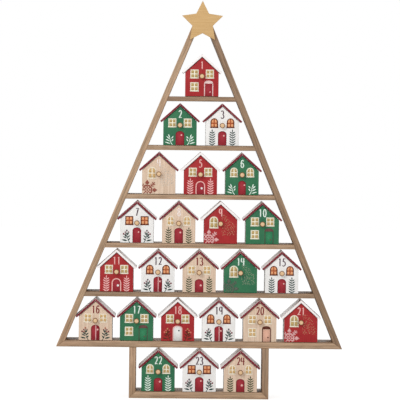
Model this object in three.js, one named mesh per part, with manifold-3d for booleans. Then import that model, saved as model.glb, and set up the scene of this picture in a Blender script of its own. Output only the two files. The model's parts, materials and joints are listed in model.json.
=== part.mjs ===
// An advent calendar in the shape of a Christmas tree: an A-frame of wooden boards on a box
// trunk, with a gabled house on every place of its shelves. Each house is a case glued to its
// board, with a drawer whose painted gable front is pulled out by a turned knob.
// Millimetres; +X is right, +Z is up and the drawer fronts face -Y. The origin is the middle
// of the trunk base's underside.

import * as THREE from 'three';
import { mergeVertices } from 'three/addons/utils/BufferGeometryUtils.js';
import Module from 'manifold-3d';

const wasm = await Module();
wasm.setup();

// House case: floor, side walls, back and two roof boards
const houseWidth = 50;
const houseDepth = 60;
const wallHeight = 37;
const caseWall = 3;
const caseFloor = 3;
const caseBack = 3;
const roofPitch = THREE.MathUtils.degToRad(42);
const roofBoard = 3;
const eaveReach = 5;
const roofOverhang = 3;

// Drawer: gable front, open tray and turned knob
const frontPanel = 4;
const trayWall = 2.5;
const trayFloor = 2.5;
const traySide = 28;
const runningGap = 0.4;
const shutGap = 0.3;
const endGap = 0.5;
const knobHeight = 30.3;
const knobReach = 10;
const knobRadius = 4;
const knobHead = 5.5;
const neckRadius = 1.8;
const knobFacets = 16;
const knobSteps = 3;

// Boards of the tree and its trunk
const shelfBoard = 7;
const footBoard = 9.5;
const railBoard = 9;
const trunkBoard = 10;
const glueLine = 0.2;

// Star on the front of the rails' peak
const starRadius = 32.3;
const starNotch = 16.2;
const starBoard = 4;
const starChamfer = 0.5;

// Room that the boards leave round the houses
const headroom = 2.95;
const frontMargin = 0.5;
const backMargin = 1.5;
const railRoom = 0.3;
const trunkRoom = 2.4;
const leanRoom = 0.76;

// Rows from the top: each house's front colour, the gap between eaves, and how far the row
// as a whole stands to the right of the middle
const treeRows = [
  { fronts: ['red'], gap: 0, shift: 0 },
  { fronts: ['green', 'white'], gap: 3.4, shift: -0.4 },
  { fronts: ['beige', 'red', 'green'], gap: 2.4, shift: -0.7 },
  { fronts: ['white', 'beige', 'red', 'green'], gap: 2.7, shift: -1.1 },
  { fronts: ['red', 'white', 'beige', 'green', 'white'], gap: 2, shift: -1 },
  { fronts: ['beige', 'green', 'red', 'white', 'beige', 'red'], gap: 1.7, shift: -1.7 },
];
const trunkRow = { fronts: ['green', 'white', 'beige'], gap: 1.8, shift: 0.7 };

const finishes = {
  red: { color: '#a8242c', roughness: 0.55 },
  green: { color: '#2c6b4e', roughness: 0.55 },
  white: { color: '#e9e7e2', roughness: 0.55 },
  beige: { color: '#d6bd96', roughness: 0.6 },
  case: { color: '#e4e2de', roughness: 0.6 },
  frame: { color: '#9c7d63', roughness: 0.7 },
  star: { color: '#d5af7b', roughness: 0.6 },
};

// House outline, from its front bottom edge
const halfHouse = houseWidth / 2;
const ridge = wallHeight + halfHouse * Math.tan(roofPitch);
const roofLift = roofBoard / Math.cos(roofPitch);
const houseHeight = ridge + roofLift;
const eaveTip = halfHouse + eaveReach;
const roofSpan = 2 * eaveTip;
const caseFront = frontPanel + shutGap;

// Tray inside the case
const trayHalf = halfHouse - caseWall - runningGap;
const trayBase = caseFloor + runningGap;
const trayEnd = houseDepth - caseBack - endGap;

// Storeys: every shelf leaves the same height over the board below it
const storeyHeight = houseHeight + headroom;
const storeyPitch = storeyHeight + shelfBoard;
const footUnderside = trunkBoard + storeyHeight;
const footTop = footUnderside + footBoard;
const frameDepth = frontMargin + houseDepth + backMargin;
const frameFront = -frameDepth / 2;

// Rails: they lean in by half a house for each storey, clear of every row's end eaves
const leanStep = (roofSpan + leanRoom) / 2;
const lean = Math.atan(leanStep / storeyPitch);
const eaveLevel = roofUnderside(eaveTip) + roofLift;
const rowRoom = railRoom + Math.max(...treeRows.map((row) => halfRow(row) - row.fronts.length * leanStep));
const railWidth = railBoard / Math.cos(lean);
const treeHalf = railInside(footUnderside) + railWidth;
const peak = footUnderside + treeHalf / Math.tan(lean);
const trunkInside = halfRow(trunkRow) + trunkRoom;
const trunkHalf = trunkInside + trunkBoard;

// Height of the roof's underside at a distance from the house's middle
function roofUnderside(x) {
  return ridge - Math.abs(x) * Math.tan(roofPitch);
}

// Farthest reach of a row's eaves from the tree's middle
function halfRow(row) {
  const count = row.fronts.length;
  return (count * roofSpan + (count - 1) * row.gap) / 2 + Math.abs(row.shift);
}

// Distance of the rails' inner faces from the middle at height z
function railInside(z) {
  const lowestEave = footTop + eaveLevel;
  return treeRows.length * leanStep + rowRoom - (z - lowestEave) * Math.tan(lean);
}

function point(x, z) {
  return new THREE.Vector2(x, z);
}

// Mirrors the points of a half outline about the middle, to close a symmetrical one
function mirrored(half) {
  const other = half.map((p) => point(-p.x, p.y)).reverse();
  return [...half, ...other];
}

// A straight line through two points, moved to its own left
function line(from, to, moved = 0) {
  const along = to.clone().sub(from).normalize();
  const leftward = point(-along.y, along.x);
  return { from: from.clone().addScaledVector(leftward, moved), along };
}

function crossing(a, b) {
  const share = b.from.clone().sub(a.from).cross(b.along) / a.along.cross(b.along);
  return a.from.clone().addScaledVector(a.along, share);
}

// Extrudes an outline in the XZ plane from y = front to y = back
function slab(outline, front, back, chamfer = 0) {
  const shape = new THREE.Shape(outline);
  const geometry = new THREE.ExtrudeGeometry(shape, {
    depth: back - front - 2 * chamfer,
    bevelEnabled: chamfer > 0,
    bevelThickness: chamfer,
    bevelSize: chamfer,
    bevelOffset: -chamfer,
    bevelSegments: 1,
  });
  geometry.rotateX(Math.PI / 2);
  geometry.translate(0, back - chamfer, 0);
  return geometry;
}

function toSolid(geometry) {
  const bare = geometry.clone();
  bare.deleteAttribute('normal');
  bare.deleteAttribute('uv');
  const merged = mergeVertices(bare, 1e-4);
  return new wasm.Manifold(new wasm.Mesh({
    numProp: 3,
    vertProperties: merged.attributes.position.array,
    triVerts: Uint32Array.from(merged.index.array),
  }));
}

function toGeometry(solid) {
  const mesh = solid.getMesh();
  const geometry = new THREE.BufferGeometry();
  geometry.setAttribute('position', new THREE.BufferAttribute(mesh.vertProperties, 3));
  geometry.setIndex(new THREE.BufferAttribute(mesh.triVerts, 1));
  geometry.computeVertexNormals();
  return geometry;
}

function named(name, geometry, finish) {
  const mesh = new THREE.Mesh(geometry, new THREE.MeshStandardMaterial(finishes[finish]));
  mesh.name = name;
  return mesh;
}

// Gable outline that stands on z = foot, with its roof line raised or dropped
function gable(half, foot, raised) {
  return [
    point(-half, foot),
    point(half, foot),
    point(half, roofUnderside(half) + raised),
    point(0, ridge + raised),
    point(-half, roofUnderside(half) + raised),
  ];
}

// The two roof boards, joined at the ridge and cut square at the eaves
function roofOutline() {
  const squareCut = eaveTip - roofBoard * Math.sin(roofPitch);
  const rightHalf = [
    point(squareCut, roofUnderside(squareCut)),
    point(eaveTip, roofUnderside(eaveTip) + roofLift),
    point(0, houseHeight),
  ];
  const leftHalf = [
    point(-eaveTip, roofUnderside(eaveTip) + roofLift),
    point(-squareCut, roofUnderside(squareCut)),
    point(0, ridge),
  ];
  return [...rightHalf, ...leftHalf];
}

// Case: the walls' tops run half way into the roof boards, which cover the drawer's front
function houseCase() {
  const walls = toSolid(slab(gable(halfHouse, 0, roofLift / 2), caseFront, houseDepth));
  const inside = gable(halfHouse - caseWall, caseFloor, roofLift);
  const hollow = toSolid(slab(inside, 0, houseDepth - caseBack));
  const roof = toSolid(slab(roofOutline(), -roofOverhang, houseDepth));
  return toGeometry(walls.subtract(hollow).add(roof));
}

// Turned knob: a straight neck that swells into a domed head
function knob() {
  const root = frontPanel / 2;
  const headBack = knobReach - knobHead;
  const widest = knobReach - knobHead / 2;
  const profile = new THREE.Path();
  profile.moveTo(0, -knobReach);
  profile.quadraticCurveTo(knobRadius, -knobReach, knobRadius, -widest);
  profile.quadraticCurveTo(knobRadius, -headBack, (neckRadius + knobRadius) / 2, -headBack);
  profile.quadraticCurveTo(neckRadius, -headBack, neckRadius, -headBack / 2);
  profile.lineTo(neckRadius, root);
  profile.lineTo(0, root);
  const turned = new THREE.LatheGeometry(profile.getPoints(knobSteps), knobFacets);
  turned.translate(0, 0, knobHeight);
  return toSolid(turned);
}

function box(half, front, back, bottom, top) {
  const outline = mirrored([point(half, bottom), point(half, top)]);
  return toSolid(slab(outline, front, back));
}

// Drawer: the tray is open above, and its front laps over the case's walls
function houseDrawer() {
  const panelDrop = runningGap / Math.cos(roofPitch);
  const panel = toSolid(slab(gable(halfHouse, runningGap, -panelDrop), 0, frontPanel));
  const rim = trayBase + traySide;
  const tray = box(trayHalf, frontPanel / 2, trayEnd, trayBase, rim);
  const openTop = rim + trayWall;
  const hollow = box(trayHalf - trayWall, frontPanel, trayEnd - trayWall, trayBase + trayFloor, openTop);
  return toGeometry(panel.add(tray).subtract(hollow).add(knob()));
}

// A house for each front of a row, on the board whose top is at z = floor
function houses(row, floor, firstNumber) {
  const group = new THREE.Group();
  const pitch = roofSpan + row.gap;
  const middle = (row.fronts.length - 1) / 2;
  row.fronts.forEach((colour, place) => {
    const number = String(firstNumber + place).padStart(2, '0');
    const house = new THREE.Group();
    house.position.set(row.shift + (place - middle) * pitch, frameFront + frontMargin, floor + glueLine);
    house.add(named(`house_${number}_case`, caseGeometry, 'case'));
    house.add(named(`house_${number}_drawer`, drawerGeometry, colour));
    group.add(house);
  });
  return group;
}

function frameSlab(outline) {
  return slab(outline, frameFront, -frameFront);
}

// Outline of a board's end at a mitred corner, between the board's outer and inner edges
function mitredEnd(outerCorner, innerCorner, outerEdge, innerEdge, side) {
  const mitre = line(outerCorner, innerCorner, side * glueLine / 2);
  return [crossing(mitre, innerEdge), crossing(mitre, outerEdge)];
}

// Right rail: mitred to the foot board, and cut upright where the two rails meet at the peak
function railOutline() {
  const outerFoot = point(treeHalf, footUnderside);
  const innerFoot = point(railInside(footTop), footTop);
  const up = point(-Math.sin(lean), Math.cos(lean));
  const outerEdge = line(outerFoot, outerFoot.clone().add(up));
  const innerEdge = line(innerFoot, innerFoot.clone().add(up));
  const peakCut = line(point(glueLine / 2, 0), point(glueLine / 2, 1));
  return [
    ...mitredEnd(outerFoot, innerFoot, outerEdge, innerEdge, -1),
    crossing(outerEdge, peakCut),
    crossing(innerEdge, peakCut),
  ];
}

// Board that closes the tree below, mitred to both rails
function footOutline() {
  const outerFoot = point(treeHalf, footUnderside);
  const innerFoot = point(railInside(footTop), footTop);
  const underside = line(point(0, footUnderside), outerFoot);
  const top = line(point(0, footTop), innerFoot);
  return mirrored(mitredEnd(outerFoot, innerFoot, underside, top, 1).reverse());
}

// Shelf whose ends are cut to the rails' lean
function shelfOutline(underside) {
  const top = underside + shelfBoard;
  const joint = glueLine / Math.cos(lean);
  return mirrored([
    point(railInside(underside) - joint, underside),
    point(railInside(top) - joint, top),
  ]);
}

// Right side of the trunk: mitred to the base and butted under the foot board
function trunkSideOutline() {
  const outerCorner = point(trunkHalf, 0);
  const innerCorner = point(trunkInside, trunkBoard);
  const outerEdge = line(outerCorner, point(trunkHalf, 1));
  const innerEdge = line(innerCorner, point(trunkInside, footUnderside));
  const top = footUnderside - glueLine;
  return [
    ...mitredEnd(outerCorner, innerCorner, outerEdge, innerEdge, -1),
    point(trunkHalf, top),
    point(trunkInside, top),
  ];
}

function trunkBaseOutline() {
  const outerCorner = point(trunkHalf, 0);
  const innerCorner = point(trunkInside, trunkBoard);
  const underside = line(point(0, 0), outerCorner);
  const top = line(point(0, trunkBoard), innerCorner);
  return mirrored(mitredEnd(outerCorner, innerCorner, underside, top, 1).reverse());
}

function opposite(outline) {
  return outline.map((p) => point(-p.x, p.y));
}

// Five-pointed star with one point up, its tip level with the rails' peak
function star() {
  const outline = [];
  for (let corner = 0; corner < 10; corner += 1) {
    const radius = corner % 2 === 0 ? starRadius : starNotch;
    const angle = Math.PI / 2 + corner * Math.PI / 5;
    outline.push(point(radius * Math.cos(angle), radius * Math.sin(angle)));
  }
  const back = frameFront - glueLine;
  const mesh = named('star', slab(outline, back - starBoard, back, starChamfer), 'star');
  mesh.position.z = peak - starRadius;
  return mesh;
}

const caseGeometry = houseCase();
const drawerGeometry = houseDrawer();

const calendar = new THREE.Group();
calendar.add(named('right_rail', frameSlab(railOutline()), 'frame'));
calendar.add(named('left_rail', frameSlab(opposite(railOutline())), 'frame'));
calendar.add(named('foot_board', frameSlab(footOutline()), 'frame'));
calendar.add(named('trunk_right', frameSlab(trunkSideOutline()), 'frame'));
calendar.add(named('trunk_left', frameSlab(opposite(trunkSideOutline())), 'frame'));
calendar.add(named('trunk_base', frameSlab(trunkBaseOutline()), 'frame'));
calendar.add(star());

let nextNumber = 1;
treeRows.forEach((row, fromTop) => {
  const fromFoot = treeRows.length - 1 - fromTop;
  const floor = footTop + fromFoot * storeyPitch;
  if (fromFoot > 0) {
    calendar.add(named(`shelf_${fromTop + 1}`, frameSlab(shelfOutline(floor - shelfBoard)), 'frame'));
  }
  calendar.add(houses(row, floor, nextNumber));
  nextNumber += row.fronts.length;
});
calendar.add(houses(trunkRow, trunkBoard, nextNumber));

export default calendar;
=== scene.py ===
# %% [markdown]
# # Advent calendar: a wooden tree with twenty-four drawer houses
# The real object is a flat A-frame of stained boards on a box trunk. Small gabled houses
# stand on its shelves, and the painted front of each house pulls out as a drawer. The
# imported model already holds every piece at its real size, so this lesson only dresses it.
# The model comes in first, because every piece below is placed by it.

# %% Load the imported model
import json
import math

import bpy
import numpy as np
from mathutils import Matrix, Vector


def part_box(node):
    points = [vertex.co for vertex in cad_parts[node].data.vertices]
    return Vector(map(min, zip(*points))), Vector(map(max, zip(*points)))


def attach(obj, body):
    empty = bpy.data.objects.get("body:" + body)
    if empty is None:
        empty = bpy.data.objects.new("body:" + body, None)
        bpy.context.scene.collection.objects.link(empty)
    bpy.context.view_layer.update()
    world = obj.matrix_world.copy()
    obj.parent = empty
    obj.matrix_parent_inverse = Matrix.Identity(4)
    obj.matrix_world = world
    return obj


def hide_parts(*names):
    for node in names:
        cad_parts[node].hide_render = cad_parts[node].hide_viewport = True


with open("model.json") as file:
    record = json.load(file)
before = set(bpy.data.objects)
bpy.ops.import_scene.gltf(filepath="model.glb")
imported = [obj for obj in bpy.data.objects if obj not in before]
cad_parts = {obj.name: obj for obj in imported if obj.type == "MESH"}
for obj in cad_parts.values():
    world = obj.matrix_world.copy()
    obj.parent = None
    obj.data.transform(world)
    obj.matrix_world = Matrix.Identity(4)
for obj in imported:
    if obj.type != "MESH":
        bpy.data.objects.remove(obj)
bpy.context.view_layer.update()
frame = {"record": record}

# %% [markdown]
# ## Camera
# The photograph is a catalogue picture taken from far off with a long lens. The shelves'
# tops and the trunk's inner side show how high and how far to the left the lens stood,
# and the object is turned a little clockwise in the picture, which is a roll of the
# camera. A camera placed from those few sizes gives the picture's perspective without
# shifting the lens, so it also works for any other view.

# %% Place the camera
CAMERA_PLACE = Vector((-0.032, -4.075, 0.425))
CAMERA_AIM = Vector((-0.001, -0.031, 0.2987))
CAMERA_ROLL = math.radians(0.62)
LENS_MM = 243

camera_data = bpy.data.cameras.new("camera")
camera_data.lens = LENS_MM
camera_data.clip_start, camera_data.clip_end = 0.1, 40
camera = bpy.data.objects.new("camera", camera_data)
towards = (CAMERA_AIM - CAMERA_PLACE).to_track_quat("-Z", "Y").to_matrix().to_4x4()
roll = Matrix.Rotation(CAMERA_ROLL, 4, "Z")
camera.matrix_world = Matrix.Translation(CAMERA_PLACE) @ towards @ roll
bpy.context.scene.collection.objects.link(camera)
bpy.context.scene.camera = camera
print("camera distance, metres:", round((CAMERA_AIM - CAMERA_PLACE).length, 3))

# %% [markdown]
# ## Colours and nodes
# Paint colours are judged on a screen, so they are written as sRGB hex values, and one
# function turns them into the linear light that shaders work in. A second function adds
# one shader node with its settings and links, so that each finish below reads as a list
# of what feeds what.

# %% Colour and node helpers
MM = 0.001


def linear(colour):
    """Hex sRGB to linear RGBA: near black each channel is divided by 12.92, and above that
    it is (channel + 0.055) / 1.055 raised to the power 2.4."""
    channel = np.array([int(colour[place:place + 2], 16) for place in (1, 3, 5)]) / 255
    raised = ((channel + 0.055) / 1.055) ** 2.4
    return (*np.where(channel > 0.04045, raised, channel / 12.92), 1.0)


def add(tree, kind, inputs=None, stops=(), **settings):
    """Adds a shader node, sets its properties, sets or links each named input, and gives a
    colour ramp its stops, each a position and a linear colour."""
    node = tree.nodes.new("ShaderNode" + kind)
    for name, value in settings.items():
        setattr(node, name, value)
    for name, value in (inputs or {}).items():
        if isinstance(value, bpy.types.NodeSocket):
            tree.links.new(value, node.inputs[name])
        else:
            node.inputs[name].default_value = value
    for number, (position, colour) in enumerate(stops):
        node.color_ramp.elements[number].position = position
        node.color_ramp.elements[number].color = colour
    return node


WHITE = linear("#ffffff")
print("a mid grey in linear light:", [round(float(part), 3) for part in linear("#808080")])

# %% A new finish
# The Mix node keeps one set of sockets for each kind of value: these are the colour ones.
MIX_A, MIX_B, MIX_RESULT = 6, 7, 2
MULTIPLIED = {"data_type": "RGBA", "blend_type": "MULTIPLY"}
MATT_SHEEN, SATIN_SHEEN = 0.2, 0.5


def finish(name):
    """An empty node material and its tree."""
    material = bpy.data.materials.new(name)
    material.use_nodes = True
    material.node_tree.nodes.clear()
    return material, material.node_tree


def surface(tree, colour, roughness, height, relief_mm, sheen=MATT_SHEEN):
    """Ends a finish: one Principled shader, with a bump whose full height is relief_mm."""
    bump = add(tree, "Bump", {"Height": height, "Distance": relief_mm * MM, "Strength": 1.0})
    shader = add(tree, "BsdfPrincipled", {"Base Color": colour, "Roughness": roughness,
                                          "Specular IOR Level": sheen,
                                          "Normal": bump.outputs["Normal"]})
    add(tree, "OutputMaterial", {"Surface": shader.outputs["BSDF"]})


print("specular levels of matt and satin surfaces:", MATT_SHEEN, SATIN_SHEEN)

# %% Figure in wood
ALONG_X, ALONG_Y, ALONG_Z = 0, 1, 2


def figure(tree, place, cell_mm, **noise):
    """Noise whose cells have three real sizes in mm, along the place's x, y and z: each
    coordinate is divided by its size. Cells that are long one way give streaks."""
    scale = [1 / (size * MM) for size in cell_mm]
    scaled = add(tree, "Mapping", {"Vector": place, "Scale": scale}).outputs[0]
    return add(tree, "TexNoise", {"Vector": scaled, "Scale": 1.0, **noise}).outputs["Fac"]


def streak(along, across_mm, along_mm):
    """The cell of a streak, which runs along_mm on one axis and across_mm on the others."""
    return [along_mm if axis == along else across_mm for axis in range(3)]


print("a streak's cell, mm:", streak(ALONG_Z, 1, 30))

# %% [markdown]
# ## Stained pine boards
# The tree is made of planed pine strips with a thin brown stain. Pine has soft and hard
# bands a few millimetres apart that run the whole length of a board, and the stain sinks
# deeper into the soft ones. The boards lie at four angles, so the pattern can't follow
# the world's axes: each board carries an attribute that says, for every corner, how far
# along, across and into its own board it lies, and the wood reads that.

# %% Stained pine
# The cells of its three patterns, in mm along the board, across it and into it. Fibres are
# far finer on real pine: they are drawn this coarse so that they show.
BAND_CELL, FIBRE_CELL, CLOUD_CELL = (110, 3.2, 4.5), (20, 0.7, 0.9), (70, 20, 30)


def stained_pine():
    """Planed, wiped stain: streaks of two browns along the board, with fine darker pores and
    faint clouds. The `stain` attribute, from 0 to 1, darkens each board, and on the rails and trunk part
    of that is painted shade."""
    material, tree = finish("stained_pine")
    board = add(tree, "Attribute", attribute_name="grain").outputs["Vector"]
    band = figure(tree, board, BAND_CELL, Detail=3.0, Roughness=0.55, Distortion=0.35)
    fibre = figure(tree, board, FIBRE_CELL, Detail=4.0)
    cloud = figure(tree, board, CLOUD_CELL, Detail=2.0)
    streaks = add(tree, "ValToRGB", {"Fac": band}, ((0.3, linear("#a3886b")), (0.68, linear("#d1ae8c"))))
    pores = add(tree, "ValToRGB", {"Fac": fibre}, ((0.36, linear("#bdb3aa")), (0.56, WHITE)))
    tint = add(tree, "ValToRGB", {"Fac": cloud}, ((0.35, linear("#e6dcd6")), (0.65, WHITE)))
    stain_and_shade = add(tree, "Attribute", attribute_name="stain").outputs["Fac"]
    depth = add(tree, "Mix", {"Factor": stain_and_shade, MIX_A: WHITE, MIX_B: linear("#bfb9b2")},
                data_type="RGBA")
    colour = streaks.outputs["Color"]
    for share, layer in ((0.7, pores.outputs["Color"]), (0.7, tint.outputs["Color"]),
                         (1.0, depth.outputs[MIX_RESULT])):
        mixed = add(tree, "Mix", {"Factor": share, MIX_A: colour, MIX_B: layer}, **MULTIPLIED)
        colour = mixed.outputs[MIX_RESULT]
    dull = add(tree, "MapRange", {"Value": fibre, "To Min": 0.6, "To Max": 0.46})
    surface(tree, colour, dull.outputs["Result"], fibre, 0.05, SATIN_SHEEN)
    return material


pine = stained_pine()
print("finish:", pine.name)

# %% [markdown]
# ## Painted plywood
# Cases, roofs and three kinds of front are thin plywood with one coat of acrylic paint,
# matt on the fronts and satin on the rest. Brush strokes and the wood's fibres show
# through as fine lines along the grain, and the coat is a little uneven over a few
# centimetres. All painted boards share one recipe, and an axis says which way the fibres
# run.

# %% Paint over plywood
# Real fibres are far finer than this: they are drawn as coarse as they need to show.
FIBRE_MM = 0.9
STREAK_MM = 34
CLOUD_MM = 16
ROUGHNESS_SPREAD = 0.07


def painted(name, thin, full, along, relief_mm=0.04, sheen=MATT_SHEEN, roughness=0.53):
    """Brushed acrylic on plywood: `thin` is its colour where the coat is thin and `full` where
    it is full. `along` is the axis, 0 to 2, that fibres and brush strokes follow, and the
    roughness goes a little over and under the given one with them."""
    material, tree = finish(name)
    place = add(tree, "TexCoord").outputs["Object"]
    fibre = figure(tree, place, streak(along, FIBRE_MM, STREAK_MM), Detail=3.0)
    cloud = add(tree, "TexNoise", {"Vector": place, "Scale": 1 / (CLOUD_MM * MM), "Detail": 2.0})
    both = add(tree, "Math", {0: fibre, 1: cloud.outputs["Fac"]}, operation="ADD")
    mean = add(tree, "Math", {0: both.outputs[0], 1: 0.5}, operation="MULTIPLY")
    coat = add(tree, "ValToRGB", {"Fac": mean.outputs[0]}, ((0.36, linear(thin)), (0.6, linear(full))))
    dull = add(tree, "MapRange", {"Value": fibre, "To Min": roughness + ROUGHNESS_SPREAD,
                                  "To Max": roughness - ROUGHNESS_SPREAD})
    surface(tree, coat.outputs["Color"], dull.outputs["Result"], fibre, relief_mm, sheen)
    return material


white_case = painted("white_acrylic_on_plywood", "#e6e4e1", "#f3f1ee", ALONG_Y, 0.02, SATIN_SHEEN)
# The roof white is tinted a little pink: painted light bounced from the red parts nearby.
white_roof = painted("white_satin_acrylic_roof", "#f5eeec", "#fcf7f5", ALONG_Y, 0.006,
                     SATIN_SHEEN, 0.34)
front_paints = {
    "front_red": painted("red_acrylic_on_plywood", "#9a2226", "#ac2c2e", ALONG_Z),
    "front_green": painted("green_acrylic_on_plywood", "#2a664a", "#36754f", ALONG_Z),
    "front_white": painted("white_acrylic_front", "#e8e6e3", "#f3f1ee", ALONG_Z),
}
print("painted finishes:", 2 + len(front_paints))

# %% [markdown]
# ## Bare plywood and beech
# The beige fronts are birch plywood under clear varnish, with long upright streaks. The
# trays are the same sheet left raw, so they are paler and duller. The knobs are turned
# from beech: warmer, with short dark flecks, and smooth enough to catch a soft highlight.
# All three have streaks of two tones, so one function draws the streaks, and only their
# size and colours differ.

# %% Bare woods
SHEET_RELIEF_MM = 0.04


def wood_tone(tree, dark, light, cell_mm):
    """Streaks of two tones, fixed to the object: their colour, and the figure itself for gloss
    and relief."""
    place = add(tree, "TexCoord").outputs["Object"]
    band = figure(tree, place, cell_mm, Detail=5.0, Roughness=0.62, Distortion=0.2)
    tone = add(tree, "ValToRGB", {"Fac": band}, ((0.32, linear(dark)), (0.64, linear(light))))
    return tone.outputs["Color"], band


def bare_wood(name, dark, light, cell_mm, roughness):
    """Uncoated or clear-coated sheet wood: bands of two tones, duller in the dark ones."""
    material, tree = finish(name)
    colour, band = wood_tone(tree, dark, light, cell_mm)
    dull = add(tree, "MapRange", {"Value": band, "To Min": roughness + 0.08,
                                  "To Max": roughness - 0.05})
    surface(tree, colour, dull.outputs["Result"], band, SHEET_RELIEF_MM)
    return material


front_paints["front_beige"] = bare_wood("varnished_birch_plywood", "#cfb49b", "#e6cdb6",
                                        streak(ALONG_Z, 2.0, 30), 0.55)
raw_plywood = bare_wood("raw_birch_plywood", "#d2ba98", "#e6d4b6", streak(ALONG_Y, 1.6, 40), 0.75)
print("bare finishes:", front_paints["front_beige"].name, raw_plywood.name)

# %% Turned beech
def turned_beech():
    """Lathe-turned and waxed: the `turned` attribute is 0 at the axis and 1 at the rim, and the
    colour darkens towards the rim as painted shade on the bead's rounded edge."""
    material, tree = finish("turned_beech")
    colour, fleck = wood_tone(tree, "#d3a676", "#eaca9f", streak(ALONG_Y, 1.2, 8))
    rim = add(tree, "Attribute", attribute_name="turned").outputs["Fac"]
    # Painted shade: the colour darkens towards the rim, where the bead's surface turns away from the
    # light.
    painted_rim_shade = add(tree, "ValToRGB", {"Fac": rim}, ((0.62, WHITE), (0.84, linear("#8c6c4c"))))
    both = add(tree, "Mix", {"Factor": 1.0, MIX_A: colour, MIX_B: painted_rim_shade.outputs["Color"]}, **MULTIPLIED)
    dull = add(tree, "MapRange", {"Value": fleck, "To Min": 0.5, "To Max": 0.36})
    surface(tree, both.outputs[MIX_RESULT], dull.outputs["Result"], fleck, 0.03, SATIN_SHEEN)
    return material


beech = turned_beech()
print("turned finish:", beech.name)

# %% [markdown]
# ## Roof trim, star and stencilled paint
# The roofs' front edges are brushed a deep red, or left white on the red houses. The star
# is plywood stained a matt gold. What is drawn on the fronts is opaque craft paint, laid
# on with a stencil: each colour is flat, a little uneven in density, and stands up from
# the wood by a tenth of a millimetre.

# %% Trim and star finishes
red_trim = painted("red_acrylic_trim", "#6c1a24", "#822631", ALONG_X)
gold_stain = bare_wood("gold_stained_plywood", "#c9a26c", "#d6b17c", streak(ALONG_X, 2.2, 45), 0.6)
print("trim finishes:", red_trim.name, gold_stain.name)

# %% Stencilled colours
# Real stipple is finer than this: it is drawn as coarse as it needs to show.
STIPPLE_MM = 0.7
THIN_SHARE = 0.9


def stencilled(name, colour):
    """Opaque craft paint dabbed through a stencil: one colour, whose density changes over
    the width of a brush dab, with a faint stipple."""
    material, tree = finish("craft_paint_" + name)
    place = add(tree, "TexCoord").outputs["Object"]
    dab = add(tree, "TexNoise", {"Vector": place, "Scale": 1 / (STIPPLE_MM * MM),
                                 "Detail": 2.0}).outputs["Fac"]
    full = linear(colour)
    thin = (*(THIN_SHARE * part for part in full[:3]), 1.0)
    density = add(tree, "ValToRGB", {"Fac": dab}, ((0.35, thin), (0.6, full)))
    dull = add(tree, "MapRange", {"Value": dab, "To Min": 0.68, "To Max": 0.55})
    surface(tree, density.outputs["Color"], dull.outputs["Result"], dab, 0.02)
    return material


craft_colours = {
    "cream": "#fff8e2", "straw": "#c6a96d", "amber": "#f3ac7a", "coral": "#ac4c24",
    "rust": "#6c2e16", "door_red": "#a5303a", "door_dark": "#7c1c28", "blush": "#f6bdb6",
    "shell": "#f3d3cf", "snow": "#f5f3ef", "mint": "#eefcf0", "fir": "#27433c",
    "sage": "#2f4843", "olive": "#3e4b2c", "bark": "#5e2c1c", "plum": "#5c4450",
    "wine": "#86282c", "berry": "#7c2c3a", "holly": "#dd7a6c", "salmon": "#e8b49c",
    "moss": "#35845a", "bottle": "#4c5a48", "umber": "#6e4c48", "ivory": "#fff3dc",
    "cocoa": "#9c5446", "ash": "#d2cdc3", "clay": "#b86a54", "sand": "#cb9474", "slate": "#5d675a",
    "rose": "#eab4b2", "holly_pink": "#ffc4c0", "ochre": "#cc9464", "wheat": "#dcb67c",
    "door_shade": "#93242f", "pearl": "#fdefe9", "lichen": "#a4a891",
}
craft_paints = {name: stencilled(name, colour) for name, colour in craft_colours.items()}
print("stencilled colours:", len(craft_paints))

# %% [markdown]
# ## One skin for every shape
# Boards, knobs, pen strokes and leaves are all the same kind of form: a closed ring of
# corners carried from one end to the other and shut by its first and last ring, or led
# back to where it began. So one numpy function makes them all from a grid of corners, and
# a small class keeps the arrays until several of them are joined into one piece. All
# these forms are written in millimetres, and turn into metres only when they enter a mesh.

# %% Part and skin
class Part:
    """Corners in mm, the corner numbers round every face, and each face's length and finish."""

    def __init__(self, corners, loops, sizes, finishes):
        self.corners = np.asarray(corners, float)
        self.loops = np.asarray(loops, int)
        self.sizes = np.asarray(sizes, int)
        self.finishes = np.asarray(finishes, int)

    def moved(self, by):
        """The same part, shifted by (x, y, z)."""
        return Part(self.corners + by, self.loops, self.sizes, self.finishes)


def skin(rings, finish_number=0, looped=False):
    """A closed skin over rings[station, corner, xyz]: one quad for each step along and round
    the grid, with the end rings as faces, or with the last ring joined to the first. Seen
    from outside the first ring, its corners run anticlockwise."""
    stations, around = rings.shape[:2]
    number = np.arange(stations * around).reshape(stations, around)
    near, far = (number, np.roll(number, -1, 0)) if looped else (number[:-1], number[1:])
    ends = [] if looped else [number[0], number[-1][::-1]]
    quads = np.stack([near, far, np.roll(far, -1, 1), np.roll(near, -1, 1)], axis=-1)
    loops = np.concatenate([*ends, quads.ravel()])
    sizes = np.array([around] * len(ends) + [4] * near.size)
    return Part(rings.reshape(-1, 3), loops, sizes, np.full(len(sizes), finish_number))


print("faces of a skin with three rings of four corners:", len(skin(np.zeros((3, 4, 3))).sizes))

# %% Join parts into a piece
def joined(parts):
    """All the parts' arrays end to end, each part's corner numbers raised by those before it."""
    before = np.cumsum([0] + [len(part.corners) for part in parts[:-1]])
    return Part(
        np.vstack([part.corners for part in parts]),
        np.concatenate([part.loops + start for part, start in zip(parts, before)]),
        np.concatenate([part.sizes for part in parts]),
        np.concatenate([part.finishes for part in parts]),
    )


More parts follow.
